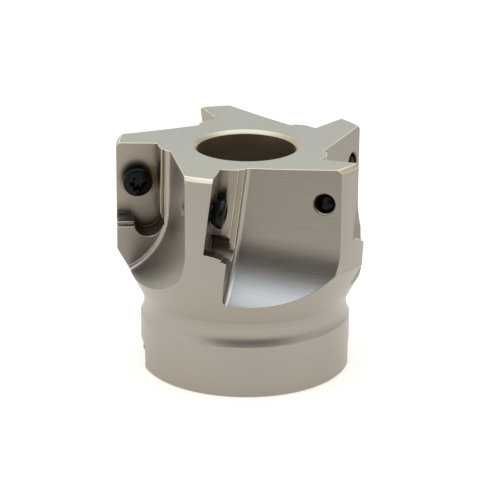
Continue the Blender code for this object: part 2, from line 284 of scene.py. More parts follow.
@dataclass(frozen=True)
class Steel:
    """A machined steel surface.

    Attributes:
        name: material name.
        colour: sRGB hex of the metal's reflection.
        roughness: mean roughness.
        spread: how much the roughness wanders.
        tone: how much the reflection's strength wanders with the marks.
        marks: tool marks per millimetre.
        relief: height of the marks in micrometres.
        stretch: scale of the pattern along its three axes.
        local: whether the pattern follows the tooth instead of the whole mill.
        metallic: share of metal.
        specular: strength of the reflection where it isn't metal.
        corner_shade: sRGB hex of a painted shade that darkens the corners, empty for none.
        reach: how far the painted corner shade reaches out of a corner, in millimetres.
        rough_span: the pattern's values at the lowest and highest roughness.
        tone_span: the pattern's values at the darkest and brightest tone.
        corner_span: openness of a corner where the painted shade is full, and where it ends.
    """

    name: str
    colour: str
    roughness: float
    spread: float = 0.02
    tone: float = 0.0
    marks: float = 2.0
    relief: float = 0.4
    stretch: tuple[float, float, float] = (1.0, 1.0, 1.0)
    local: bool = False
    metallic: float = 1.0
    specular: float = 0.5
    corner_shade: str = ""
    reach: float = 2.0
    rough_span: tuple[float, float] = (0.3, 0.7)
    tone_span: tuple[float, float] = (0.35, 0.65)
    corner_span: tuple[float, float] = (0.35, 0.88)

    def material(self) -> Material:
        """Make the material: one streaky noise drives the roughness, the tone and a fine bump.

        Returns:
            The material.
        """
        material = bpy.data.materials.new(self.name)
        material.diffuse_color = linear(self.colour)
        material.use_nodes = True
        tree = material.node_tree
        tree.nodes.clear()
        if self.local:
            spot = add_node(tree, "Attribute", {"attribute_name": "tooth_space"}).outputs["Vector"]
        else:
            spot = add_node(tree, "TexCoord").outputs["Object"]
        mapping = add_node(tree, "Mapping", {"Scale": self.stretch}, {"Vector": spot})
        streaks = add_node(
            tree, "TexNoise",
            {"Scale": self.marks / MILLIMETRE, "Detail": 3.0, "Roughness": 0.6},
            {"Vector": mapping.outputs["Vector"]}).outputs["Fac"]
        low, high = self.rough_span
        rough = add_node(
            tree, "MapRange",
            {"From Min": low, "From Max": high, "To Min": self.roughness - self.spread,
             "To Max": self.roughness + self.spread},
            {"Value": streaks})
        bump = add_node(
            tree, "Bump", {"Strength": 1.0, "Distance": self.relief * MICROMETRE}, {"Height": streaks})
        shader = add_node(
            tree, "BsdfPrincipled",
            {"Base Color": linear(self.colour), "Metallic": self.metallic,
             "Specular IOR Level": self.specular},
            {"Roughness": rough.outputs["Result"], "Normal": bump.outputs["Normal"]})
        if self.tone:
            tree.links.new(self.toned(tree, streaks), shader.inputs["Base Color"])
        add_node(tree, "OutputMaterial", {}, {"Surface": shader.outputs["BSDF"]})
        return material

    def toned(self, tree: NodeTree, streaks: NodeSocket) -> NodeSocket:
        """Let the metal's colour wander with the marks, and go over to a painted shade in corners.

        Args:
            tree: the material's node tree.
            streaks: the pattern of the marks.

        Returns:
            The socket that gives the colour.
        """
        low, high = self.tone_span
        strength = add_node(tree, "MapRange", {"From Min": low, "From Max": high}, {"Value": streaks})
        darker, brighter = lit(self.colour, 1.0 - self.tone), lit(self.colour, 1.0 + self.tone)
        metal = add_node(
            tree, "Mix", {"data_type": "RGBA", FIRST: darker, SECOND: brighter},
            {SHARE: strength.outputs["Result"]}).outputs[BLEND]
        if not self.corner_shade:
            return metal
        # Painted shade: where ambient occlusion finds a corner, the colour goes over to a dark brown
        low, high = self.corner_span
        corner = add_node(
            tree, "AmbientOcclusion", {"Distance": self.reach * MILLIMETRE, "samples": 12})
        unshaded = add_node(
            tree, "MapRange", {"From Min": low, "From Max": high, "interpolation_type": "SMOOTHSTEP"},
            {"Value": corner.outputs["AO"]})
        return add_node(
            tree, "Mix", {"data_type": "RGBA", FIRST: linear(self.corner_shade)},
            {SHARE: unshaded.outputs["Result"], SECOND: metal}).outputs[BLEND]


class Finish(Enum):
    """The finishes of the body, in the order of its material slots."""

    # Turned and nickel plated: fine rings that pull the light out into soft upright bands
    TURNED = Steel(
        "nickel_plated_steel_turned", "a19a90", 0.36, tone=0.025, marks=3.0, relief=0.8,
        stretch=(0.003, 0.003, 1.0))
    # Faced: an even dull sheen without a direction
    FACED = Steel("nickel_plated_steel_faced", "98928a", 0.38, tone=0.03, relief=0.6)
    # Turned chamfers: a warm colour, painted so that their bright reflection shows as cream lines
    RIM = Steel(
        "nickel_plated_steel_rim", "a5977f", 0.34, tone=0.02, marks=2.5, relief=0.6,
        stretch=(0.02, 0.02, 1.0))
    # Bored: a darker warm colour inside, painted shade of the bore
    BORED = Steel(
        "nickel_plated_steel_bored", "998a73", 0.42, tone=0.05, marks=2.5, relief=1.0,
        stretch=(0.02, 0.02, 1.0))
    # End-milled: a darker sheen, with faint lines that run square to the tooth
    MILLED = Steel(
        "nickel_plated_steel_milled", "8e877d", 0.36, tone=0.05, marks=3.5, relief=0.2,
        stretch=(1.0, 0.01, 1.0), local=True)
    # Left by the end mill's round corner: smoother, and a paler warm colour, a painted reflection that makes
    # a pale band along the gullet
    FILLET = Steel(
        "nickel_plated_steel_fillet_reflection", "a39a8f", 0.34, tone=0.03, relief=0.6,
        stretch=(1.0, 0.03, 1.0), local=True)
    # Rounded edges: a pale cream colour, painted highlight that draws thin cream lines round teeth and
    # pockets
    EDGE = Steel("nickel_plated_steel_edge_highlight", "dccfb4", 0.32, tone=0.02)
    # Ground seat: an even sheen, with a painted brown shade in its corners
    GROUND = Steel(
        "nickel_plated_steel_ground", "9c9488", 0.38, tone=0.05, local=True, corner_shade="4c3a1e", reach=2.2)
    # Milled pocket walls: smoother and darker than the seat, which they mirror, with a painted brown shade
    # in their corners
    FLANK = Steel(
        "nickel_plated_steel_pocket_wall", "8e867a", 0.30, spread=0.01, tone=0.04, local=True,
        corner_shade="4c3c22", reach=1.1)
    # Drilled: a dark brown colour all over, painted shade that makes the holes read as dark rounds, and more
    # painted brown shade in their corners
    DRILLED = Steel(
        "nickel_plated_steel_drilled", "7a6c5a", 0.38, tone=0.04, relief=0.6, local=True, corner_shade="4e3c22")

    @property
    def slot(self) -> int:
        """Number of the finish's material slot on the body."""
        return list(Finish).index(self)


# Black oxide on the screws: nearly black with one small sharp highlight
BLACK_OXIDE = Steel(
    "black_oxide_steel", "060606", 0.14, marks=3.0, relief=0.3, metallic=0.0, specular=0.14)


@dataclass
class Faces:
    """The faces of a mesh as arrays.

    Attributes:
        centres: centre of each face.
        normals: normal of each face.
        slots: material slot of each face.
        owner: the face that each corner belongs to.
        edges: the edge that starts at each corner.
    """

    centres: np.ndarray
    normals: np.ndarray
    slots: np.ndarray
    owner: np.ndarray
    edges: np.ndarray

    @classmethod
    def of(cls, mesh: Mesh) -> "Faces":
        """Read the faces of a mesh.

        Args:
            mesh: the mesh.

        Returns:
            Its faces.
        """
        sizes = read(mesh.polygons, "loop_total")
        return cls(
            centres=read(mesh.polygons, "center", 3),
            normals=read(mesh.polygons, "normal", 3),
            slots=read(mesh.polygons, "material_index"),
            owner=np.repeat(np.arange(len(sizes)), sizes),
            edges=read(mesh.loops, "edge_index"))

    def have(self, *finishes: Finish) -> np.ndarray:
        """Which faces have one of these finishes."""
        return np.isin(self.slots, [finish.slot for finish in finishes])

    def neighbours(self) -> tuple[np.ndarray, np.ndarray]:
        """Pair the faces that share an edge: corners are sorted by edge, and equal ones paired.

        Returns:
            The one and the other face of each pair, every pair both ways round.
        """
        order = np.argsort(self.edges, kind="stable")
        twin = np.flatnonzero(self.edges[order][1:] == self.edges[order][:-1])
        one, other = self.owner[order][twin], self.owner[order][twin + 1]
        return np.append(one, other), np.append(other, one)


@dataclass(frozen=True)
class CutterBody:
    """The one-piece mill body.

    Sizes follow the frame's solid. The local frame of a tooth has X outwards,
    Y off the insert seat and Z up along the seat, with its origin on the
    seat's plane, level with the front rim.
    """

    # Turned blank
    body_radius: float = 0.0244
    front_height: float = 0.04288
    dish_angle: float = 3.0
    edge_chamfer: float = 0.00065
    shoulder_height: float = 0.0234
    cone_angle: float = 28.0
    neck_fillet: float = 0.005
    neck_steps: int = 16
    collar_radius: float = 0.01994
    neck_undercut: float = 0.00064
    collar_height: float = 0.00998
    lip_fillet: float = 0.0043
    lip_steps: int = 10
    base_chamfer: float = 0.0004
    turn_steps: int = 288
    # Bores and key slot
    bore_radius: float = 0.009525
    bore_depth: float = 0.0206
    bore_chamfer: float = 0.0008
    bolt_radius: float = 0.00525
    counterbore_radius: float = 0.009275
    counterbore_depth: float = 0.0145
    counterbore_chamfer: float = 0.0007
    slot_width: float = 0.0095
    slot_depth: float = 0.0051
    slot_corner: float = 0.002
    # Teeth and insert pockets; a pocket's walls are square up to the plain
    # height, lean back by the draft above it, and step back once at the land
    teeth: int = 5
    first_azimuth: float = 184.0
    axial_rake: float = 7.0
    seat_offset: float = 0.00205
    pocket_depth: float = 0.00444
    pocket_side: float = 0.01652
    pocket_length: float = 0.01373
    pocket_plain: float = 0.00175
    pocket_land: float = 0.00342
    pocket_draft: float = 11.0
    pocket_step: float = 0.00038
    step_rise: float = 1e-7
    relief_radius: float = 0.00272
    relief_centre: tuple[float, float] = (0.01848, -0.01408)
    relief_span: tuple[float, float] = (120.0, 343.0)
    relief_steps: int = 72
    relief_end_steps: int = 5
    # Gullets
    gullet_floor: float = 0.0146
    gullet_tilt: float = 1.7
    gullet_arc: float = 0.0136
    gullet_straight: float = 0.0114
    gullet_corner: float = 0.0009
    arc_steps: int = 32
    fillet_steps: int = 8
    # Screw holes; the overcut is how far a cutter runs on into open air
    screw_centre: tuple[float, float] = (0.02035, -0.00663)
    hole_radius: float = 0.00175
    hole_sides: int = 64
    mouth_chamfer: float = 0.00035
    overcut: float = 0.004
    # Rounding: edges sharper than the edge angle are rounded, and faces that
    # meet at more than the sharp angle are shaded apart; before that, points
    # closer than the weld are made one, and faces within the flat angle joined
    edge_round: float = 0.00008
    edge_angle: float = 32.0
    sharp_angle: float = 60.0
    weld: float = 4e-6
    flat_angle: float = 0.02
    # Rounded edges keep their painted highlight beside the pockets, and this far below the front
    # outside a margin round the counterbore
    highlight_depth: float = 0.0008
    highlight_margin: float = 0.002
    least_bulge: float = 0.05
    fading_passes: int = 4
    # Telling faces apart: margin of a height or radius, how far a gullet and a
    # pocket reach back from their seat's azimuth, and the relief's slack
    margin: float = 0.0002
    level_rise: float = 0.9
    diagonal_slack: float = 0.02
    gullet_back: float = 8.0
    pocket_back: float = 45.0
    relief_slack: float = 1.01
    relief_lean: float = 5.0
    # How far a face leans off the true surface that it stands for, and how
    # near a corner lies to a surface that its rounded edge runs into
    facet_lean: float = 4.0
    floor_lean: float = 3.0
    wall_lean: float = 0.5
    end_slope: float = 60.0
    end_lean: float = 3.0
    band_lean: float = 0.4
    edge_lean: float = 60.0
    floor_edge_lean: float = 50.0
    near_turned: float = 4e-6
    near_floor: float = 8e-6
    near_seat: float = 3e-6

    @property
    def rim_height(self) -> float:
        """Height of the front's inner rim over the mill's origin."""
        return self.front_height - ORIGIN_HEIGHT

    def seat_frame(self, tooth: int) -> Matrix:
        """Placement of a tooth: turned to its azimuth, offset, then raked.

        Args:
            tooth: which tooth, counted from zero.

        Returns:
            The placement of the tooth's local frame in the mill's.
        """
        around = Matrix.Rotation(np.radians(self.first_azimuth + tooth * 360.0 / self.teeth), 4, "Z")
        offset = Matrix.Translation((0.0, -self.seat_offset, self.rim_height))
        rake = Matrix.Rotation(np.radians(-self.axial_rake), 4, "X")
        return around @ offset @ rake

    def front(self, radius: float | np.ndarray) -> float | np.ndarray:
        """Height of the dished front at a radius: the rim's plus the run times the dish's slope."""
        rim = self.counterbore_radius + self.counterbore_chamfer
        return self.front_height + (radius - rim) * np.tan(np.radians(self.dish_angle))

    def outline(self) -> np.ndarray:
        """Closed outline of the turned blank, (radius, height), down the outside and up the bore.

        The neck's fillet touches the cone and the neck's cylinder, and the
        lip's fillet leaves the neck and ends on the collar's edge.

        Returns:
            An array of points, heights measured from the mill's origin.
        """
        neck = self.collar_radius - self.neck_undercut
        cone = np.radians(self.cone_angle)
        fillet_radius = neck + self.neck_fillet
        cone_line = self.body_radius - self.shoulder_height * np.tan(cone)
        fillet_height = (fillet_radius - cone_line - self.neck_fillet / np.cos(cone)) / np.tan(cone)
        fillet_centre = (fillet_radius, fillet_height)
        lip_drop = np.sqrt(self.lip_fillet ** 2 - (self.lip_fillet - self.neck_undercut) ** 2)
        lip_angle = np.degrees(np.arcsin(lip_drop / self.lip_fillet))
        lip_centre = (neck + self.lip_fillet, self.collar_height + lip_drop)
        web_top = self.front_height - self.counterbore_depth
        chamfered = self.body_radius - self.edge_chamfer
        outline = np.vstack([
            [(chamfered, self.front(chamfered)),
             (self.body_radius, self.front(self.body_radius) - self.edge_chamfer),
             (self.body_radius, self.shoulder_height)],
            arc(fillet_centre, self.neck_fillet, 180.0 - self.cone_angle, 180.0, self.neck_steps),
            arc(lip_centre, self.lip_fillet, 180.0, 180.0 + lip_angle, self.lip_steps),
            [(self.collar_radius, self.base_chamfer),
             (self.collar_radius - self.base_chamfer, 0.0),
             (self.bore_radius + self.bore_chamfer, 0.0),
             (self.bore_radius, self.bore_chamfer),
             (self.bore_radius, self.bore_depth),
             (self.bolt_radius, self.bore_depth),
             (self.bolt_radius, web_top),
             (self.counterbore_radius, web_top),
             (self.counterbore_radius, self.front_height - self.counterbore_chamfer),
             (self.counterbore_radius + self.counterbore_chamfer, self.front_height)],
        ])
        outline[:, 1] -= ORIGIN_HEIGHT
        return outline

    def blank(self) -> Mesh:
        """Turned blank: point (i, j) is outline point j turned to angle i about Z.

        Returns:
            The blank's mesh.
        """
        radius, height = self.outline().T[:, None]
        points = turned_points(radius, height, full_turn(self.turn_steps)[:, None])
        return surface_mesh("blank", points, Ends.RING)

    def gullet(self, tooth: int) -> Mesh:
        """Gullet: its outline carried along the cutter's axis.

        The outline is a straight floor that runs out in an arc. Near the wall
        it is inset by r (1 - cos t) while the station stands r (1 - sin t)
        off the wall, which gives the corner fillet; further on the floor
        drops by the tilt's tangent times the distance.

        Args:
            tooth: which gullet, counted from zero.

        Returns:
            The cutting mesh in the mill's frame, its fillet's faces in the second slot.
        """
        above = self.front_height - self.shoulder_height
        beyond = 2.0 * self.body_radius
        centre = (self.gullet_floor + self.gullet_arc, -self.gullet_straight)
        turn = np.linspace(0.0, np.pi / 2.0, self.fillet_steps + 1)
        inset = np.append(self.gullet_corner * (1.0 - np.sin(turn)), 0.0)
        stand = np.append(self.gullet_corner * (1.0 - np.cos(turn)), beyond)
        loops = []
        for gap, off in zip(inset, stand):
            curve = arc(centre, self.gullet_arc - gap, 180.0, 270.0, self.arc_steps)
            low = curve[-1, 1]
            loop = np.vstack([[(self.gullet_floor + gap, above)], curve, [(beyond, low), (beyond, above)]])
            drift = off * np.tan(np.radians(self.gullet_tilt))
            depth = np.full(len(loop), self.pocket_depth + off)
            loops.append(np.stack([loop[:, 0] - drift, depth, loop[:, 1]], axis=-1))
        mesh = surface_mesh(f"gullet_{tooth + 1}", place(np.array(loops), self.seat_frame(tooth)), Ends.CAPS)
        fillet = np.arange(len(mesh.polygons)) < self.fillet_steps * len(loops[0])
        mesh.polygons.foreach_set("material_index", fillet.astype(np.int32))
        return mesh

    def pocket(self, tooth: int) -> Mesh:
        """Insert pocket: a rectangle that widens with its height off the seat.

        Its inner corner is the round relief. Seen from the relief's centre,
        the outline lies in each direction at the larger of the relief's
        radius and the distance to the rectangle's side or end, which are
        (side - x) / cos a and (end - z) / sin a.

        Args:
            tooth: which pocket, counted from zero.

        Returns:
            The cutting mesh in the mill's frame, its bottom, the seat, in the second slot.
        """
        draft = np.tan(np.radians(self.pocket_draft))
        top = self.front_height - self.shoulder_height
        beyond = 2.0 * self.body_radius
        mouth = self.pocket_depth + self.gullet_corner
        land = (self.pocket_land - self.pocket_plain) * draft
        step = land + self.pocket_step
        above_land = self.pocket_land + self.step_rise
        depth = np.array([0.0, self.pocket_plain, self.pocket_land, above_land, mouth])
        shift = np.array([0.0, 0.0, land, step, step + (mouth - self.pocket_land) * draft])
        x, z = self.relief_centre
        loops = []
        for off, wider in zip(depth, shift):
            side = self.pocket_side - wider - x
            end = -self.pocket_length - wider - z
            last = 2.0 * np.pi + np.arcsin(end / self.relief_radius)
            steep = np.radians(np.linspace(*self.relief_span, self.relief_steps))
            angle = np.append(steep, np.linspace(steep[-1], last, self.relief_end_steps + 1)[1:])
            to_side = side / np.minimum(np.cos(angle), -SMALLEST)
            to_end = min(end, 0.0) / np.minimum(np.sin(angle), -SMALLEST)
            above = (np.sin(angle) > 0.0) & (np.cos(angle) < 0.0)
            room = np.where(above, to_side, np.minimum(np.abs(to_side), to_end))
            reach = np.maximum(room, self.relief_radius)
            loop = np.vstack([
                [(side + x, top)],
                np.column_stack([x + reach * np.cos(angle), z + reach * np.sin(angle)]),
                [(beyond, end + z), (beyond, top)]])
            loops.append(np.stack([loop[:, 0], np.full(len(loop), off), loop[:, 1]], axis=-1))
        mesh = surface_mesh(f"pocket_{tooth + 1}", place(np.array(loops), self.seat_frame(tooth)), Ends.CAPS)
        mesh.polygons[len(mesh.polygons) - 2].material_index = 1
        return mesh

    def round_cut(self, name: str, placement: Matrix, stations: list[tuple[float, float]]) -> Mesh:
        """Round cutter along local Y: a circle of each station's radius at its depth.

        Args:
            name: name of the mesh.
            placement: frame of the cutter.
            stations: (depth, radius) pairs in order of depth.

        Returns:
            The cutting mesh in the mill's frame.
        """
        depth, radius = np.array(stations).T[:, :, None]
        points = turned_points(radius, depth, full_turn(self.hole_sides)[None, :])[..., (0, 2, 1)]
        return surface_mesh(name, place(points, placement), Ends.CAPS)

    def screw_frame(self, tooth: int) -> Matrix:
        """Placement of an insert screw, with Y out of the seat along its axis."""
        x, z = self.screw_centre
        return self.seat_frame(tooth) @ Matrix.Translation((x, 0.0, z))

    def mouth_depth(self) -> float:
        """Depth along a screw's axis where it meets the floor of the gullet behind it.

        Returns:
            The depth, below zero, at which the axis reaches the tilted floor.
        """
        axis = self.screw_frame(0)
        behind = self.seat_frame(-1).inverted()
        start = behind @ axis.translation
        direction = behind.to_3x3() @ axis.to_3x3().col[1]
        slope = np.tan(np.radians(self.gullet_tilt))
        floor = self.gullet_floor - (start.y - self.pocket_depth) * slope
        return (floor - start.x) / (direction.x + direction.y * slope)

    def holes(self, tooth: int) -> list[Mesh]:
        """Tapped hole of one tooth, and the countersink at its mouth, square to the gullet's floor.

        Args:
            tooth: which tooth, counted from zero.

        Returns:
            The two cutting meshes in the mill's frame.
        """
        screw = self.screw_frame(tooth)
        mouth = self.mouth_depth()
        bottom, top = mouth - self.overcut, self.overcut
        hole = self.round_cut(
            f"hole_{tooth + 1}", screw, [(bottom, self.hole_radius), (top, self.hole_radius)])
        centre = screw @ Vector((0.0, mouth, 0.0))
        normal = Vector((1.0, np.tan(np.radians(self.gullet_tilt)), 0.0))
        outward = self.seat_frame(tooth - 1).to_3x3() @ normal
        square = Matrix.Translation(centre) @ outward.to_track_quat("Y", "Z").to_matrix().to_4x4()
        chamfer = self.mouth_chamfer
        sink = self.round_cut(
            f"sink_{tooth + 1}", square,
            [(-2.0 * chamfer, self.hole_radius - chamfer),
             (self.overcut, self.hole_radius + chamfer + self.overcut)])
        return [hole, sink]

    def key_slot(self) -> Mesh:
        """Key slot: a rectangle with two rounded corners carried along X.

        Returns:
            The cutting mesh in the mill's frame.
        """
        side = self.slot_width / 2.0
        corner = self.slot_corner
        high = self.slot_depth - corner
        loop = np.vstack([
            arc((side - corner, high), corner, 0.0, 90.0, self.fillet_steps),
            arc((corner - side, high), corner, 90.0, 180.0, self.fillet_steps),
            [(-side, -self.overcut), (side, -self.overcut)]])
        reach = 2.0 * self.body_radius
        points = np.stack([
            np.column_stack([np.full(len(loop), x), loop[:, 0], loop[:, 1] - ORIGIN_HEIGHT])
            for x in (-reach, reach)])
        return surface_mesh("key_slot", points, Ends.CAPS)

    def cuts(self) -> list[tuple[Mesh, tuple[Finish, ...]]]:
        """Plan the milling and drilling.

        Returns:
            Each cutting mesh and the finishes of its slots, in the order of the cuts.
        """
        jobs = []
        for tooth in range(self.teeth):
            jobs.append((self.gullet(tooth), (Finish.MILLED, Finish.FILLET)))
            jobs.append((self.pocket(tooth), (Finish.FLANK, Finish.GROUND)))
            jobs += [(mesh, (Finish.DRILLED,)) for mesh in self.holes(tooth)]
        jobs.append((self.key_slot(), (Finish.TURNED,)))
        return jobs

    def build(self) -> Object:
        """Cut the blank, round its edges and give each surface its finish.

        Returns:
            The finished body.
        """
        materials = {finish: finish.value.material() for finish in Finish}
        blank = self.blank()
        for material in materials.values():
            blank.materials.append(material)
        body = add_object("cutter_body_fine", blank)
        cutters = []
        for mesh, finishes in self.cuts():
            for finish in finishes:
                mesh.materials.append(materials[finish])
            cutters.append(add_object(mesh.name, mesh))
            add_modifier(body, mesh.name, "BOOLEAN", {
                "operation": "DIFFERENCE", "solver": "EXACT", "material_mode": "TRANSFER",
                "object": cutters[-1]})
        settle(body)
        for cutter in cutters:
            bpy.data.objects.remove(cutter, do_unlink=True)
        self.join_flats(body.data)
        self.round_edges(body)
        self.dress(body.data)
        return body

    def join_flats(self, mesh: Mesh) -> None:
        """Join faces of one finish that lie in one plane, so that no cut leaves a seam there.

        Args:
            mesh: the cut body's mesh, changed in place.
        """
        work = bmesh.new()
        work.from_mesh(mesh)
        bmesh.ops.remove_doubles(work, verts=work.verts, dist=self.weld)
        bmesh.ops.dissolve_limit(
            work, angle_limit=np.radians(self.flat_angle), use_dissolve_boundaries=False,
            verts=work.verts, edges=work.edges, delimit={"MATERIAL"})
        work.to_mesh(mesh)
        work.free()

    def round_edges(self, body: Object) -> None:
        """Round the edges, then shade smooth in such a way that large flat faces stay flat.

        Args:
            body: the body, which gets a new mesh.
        """
        # The rounding's faces take the edge finish, whose pale cream colour is a painted highlight
        add_modifier(body, "Round edges", "BEVEL", {
            "width": self.edge_round, "segments": 2, "limit_method": "ANGLE",
            "angle_limit": np.radians(self.edge_angle), "use_clamp_overlap": False,
            "miter_outer": "MITER_ARC", "loop_slide": False, "material": Finish.EDGE.slot})
        settle(body)
        self.trim(body.data)
        body.data.shade_smooth()
        body.data.set_sharp_from_angle(angle=np.radians(self.sharp_angle))
        add_modifier(body, "Flat faces stay flat", "WEIGHTED_NORMAL", {"keep_sharp": True, "weight": 100})
        settle(body)

    def trim(self, mesh: Mesh) -> None:
        """Bring points that the rounding pushed out of the turned blank back onto it.

        Heights are held between the mounting face and the dished front, and
        radii within the body's.

        Args:
            mesh: the rounded body mesh, changed in place.
        """
        places = read(mesh.vertices, "co", 3)
        radius = np.hypot(places[:, 0], places[:, 1])
        places[:, :2] *= np.minimum(1.0, self.body_radius / np.maximum(radius, SMALLEST))[:, None]
        top = self.front(np.minimum(radius, self.body_radius)) - ORIGIN_HEIGHT
        places[:, 2] = np.clip(places[:, 2], -ORIGIN_HEIGHT, top)
        mesh.vertices.foreach_set("co", places.ravel())
        mesh.update()

    def dress(self, mesh: Mesh) -> None:
        """Give each face its finish, and each corner its true normal and its place in its tooth.

        Args:
            mesh: the rounded body mesh, changed in place.
        """
        faces = Faces.of(mesh)
        self.sort_turned(faces)
        self.sort_edges(faces)
        tooth = self.teeth_of(faces)
        self.sort_reliefs(faces, tooth)
        mesh.polygons.foreach_set("material_index", faces.slots)
        self.shade(mesh, faces, tooth)

    def sort_turned(self, faces: Faces) -> None:
        """Tell the bores, the faced front and the chamfered rims from the other turned faces.

        Args:
            faces: the body's faces, their slots changed in place.
        """
        x, y, height = faces.centres.T
        rise = faces.normals[:, 2]
        inner = faces.have(Finish.TURNED) & (np.hypot(x, y) < self.bore_radius + self.margin)
        # Faces inside the bores take the bored finish, whose darker warm colour is painted shade
        faces.slots[inner] = Finish.BORED.slot
        level = (rise > self.level_rise) & (height > self.rim_height - self.margin)
        faces.slots[faces.have(Finish.TURNED) & level] = Finish.FACED.slot
        diagonal = np.abs(rise - np.sqrt(0.5)) < self.diagonal_slack
        rim = faces.have(Finish.TURNED, Finish.BORED) & diagonal & (height > 0.0)
        faces.slots[rim] = Finish.RIM.slot

    def sort_edges(self, faces: Faces) -> None:
        """Keep the painted highlight on outward edges beside the pockets and round the front.

        The other rounded edges take on their neighbours' finish, from both
        sides inwards. A face bulges when its neighbours' centres lie below
        its plane: minus its normal times the unit step to each neighbour,
        summed up.

        Args:
            faces: the body's faces, their slots changed in place.
        """
        one, other = faces.neighbours()
        step = unit(faces.centres[other] - faces.centres[one])
        count = len(faces.slots)
        bulge = np.bincount(one, -(faces.normals[one] * step).sum(axis=1), count)
        pocket = faces.have(Finish.FLANK, Finish.GROUND)
        beside = np.bincount(one, pocket[other], count) > 0
        x, y, height = faces.centres.T
        outer = np.hypot(x, y) > self.counterbore_radius + self.highlight_margin
        high = (height > self.rim_height - self.highlight_depth) & outer
        plain = (bulge < self.least_bulge) | ~(beside | high)
        for _ in range(self.fading_passes):
            highlighted = faces.have(Finish.EDGE)
            fading = highlighted[one] & plain[one] & ~highlighted[other]
            faces.slots[one[fading]] = faces.slots[other[fading]]

    def teeth_of(self, faces: Faces) -> np.ndarray:
        """Number each face's tooth: its azimuth from where the tooth begins, over the pitch.

        Args:
            faces: the body's faces.

        Returns:
            The tooth of each face, counted from zero.
        """
        azimuth = np.degrees(np.arctan2(faces.centres[:, 1], faces.centres[:, 0]))
        back = np.where(faces.have(Finish.MILLED, Finish.FILLET), self.gullet_back, self.pocket_back)
        return (((azimuth - self.first_azimuth + back) % 360.0) // (360.0 / self.teeth)).astype(int)

    def sort_reliefs(self, faces: Faces, tooth: np.ndarray) -> None:
        """Give the pockets' round reliefs the drilled finish, with its painted shade: their faces look at
        the relief's axis.

        Args:
            faces: the body's faces, their slots changed in place.
            tooth: the tooth of each face.
        """
        for k in range(self.teeth):
            mine = np.flatnonzero((tooth == k) & faces.have(Finish.FLANK))
            seat = self.seat_frame(k)
            inward = self.relief_centre - place(faces.centres[mine], seat.inverted())[:, (0, 2)]
            facing = (faces.normals[mine] @ np.array(seat.to_3x3()))[:, (0, 2)]
            near = np.hypot(*inward.T) < self.relief_slack * self.relief_radius
            relief = near & within(unit(inward), facing, self.relief_lean)
            faces.slots[mine[relief]] = Finish.DRILLED.slot

    def shade(self, mesh: Mesh, faces: Faces, tooth: np.ndarray) -> None:
        """Write each corner's true normal, and its place in its tooth with the rake taken out.

        Args:
            mesh: the body mesh, changed in place.
            faces: its faces.
            tooth: the tooth of each face.
        """
        places = read(mesh.vertices, "co", 3)[read(mesh.loops, "vertex_index")]
        shading = read(mesh.corner_normals, "vector", 3)
        flat = faces.normals[faces.owner]
        lathe = faces.have(Finish.TURNED, Finish.BORED, Finish.FACED)[faces.owner]
        milled = faces.have(Finish.MILLED)[faces.owner]
        exact, found = self.turned_normals(places, flat)
        shading[lathe & found] = exact[lathe & found]
        local = np.zeros_like(places)
        for k in range(self.teeth):
            seat = self.seat_frame(k)
            turn = np.array(seat.to_3x3())
            mine = tooth[faces.owner] == k
            local[mine] = place(places[mine], seat.inverted())
            for true_normals, kind in (
                    (self.gullet_normals, milled), (self.pocket_normals, ~milled & ~lathe)):
                corners = np.flatnonzero(mine & kind)
                exact, found = true_normals(local[corners], flat[corners] @ turn)
                shading[corners[found]] = exact[found] @ turn.T
        mesh.normals_split_custom_set(shading.tolist())
        level = np.array(Matrix.Rotation(np.radians(-self.axial_rake), 3, "X"))
        space = mesh.attributes.new("tooth_space", "FLOAT_VECTOR", "CORNER")
        space.data.foreach_set("vector", (local @ level.T).ravel())

    def turned_normals(self, places: np.ndarray, flat: np.ndarray) -> tuple[np.ndarray, np.ndarray]:
        """True normals of the straight bands of the turned outline.

        A band's normal keeps its slope all round: (cos s cos a, cos s sin a,
        sin s) with s the slope and a the corner's azimuth. A corner belongs
        to the band whose slope its face has. On a rounded edge it belongs to
        the cylinder, the cone or the front if it lies on one.

        Args:
            places: corner positions.
            flat: the normal of each corner's face.

        Returns:
            The normals, and which corners lie on such a band.
        """
        radius = np.hypot(places[:, 0], places[:, 1])
        height = places[:, 2] + ORIGIN_HEIGHT
        azimuth = np.arctan2(places[:, 1], places[:, 0])
        outward = np.stack([np.cos(azimuth), np.sin(azimuth)], axis=1)
        slope = np.degrees(np.arctan2(flat[:, 2], (flat[:, :2] * outward).sum(axis=1)))
        dish = 90.0 + self.dish_angle
        bands = np.array([0.0, dish, -self.cone_angle, -90.0, 90.0, 180.0, -180.0])
        gap = np.abs(slope[:, None] - bands[None, :])
        exact = sloped(outward, bands[gap.argmin(axis=1)])
        lean = np.where(np.abs(slope) > self.end_slope, self.end_lean, self.band_lean)
        found = within(exact, flat, self.facet_lean) & (gap.min(axis=1) < lean)
        shoulder = radius - self.body_radius
        cone = (self.shoulder_height - height) * np.tan(np.radians(self.cone_angle))
        front = height - self.front(radius)
        for distance, band in ((shoulder, 0.0), (shoulder + cone, -self.cone_angle), (front, dish)):
            true = sloped(outward, np.full(len(outward), band))
            chosen = ~found & (np.abs(distance) < self.near_turned) & within(true, flat, self.edge_lean)
            exact[chosen] = true[chosen]
            found |= chosen
        return exact, found

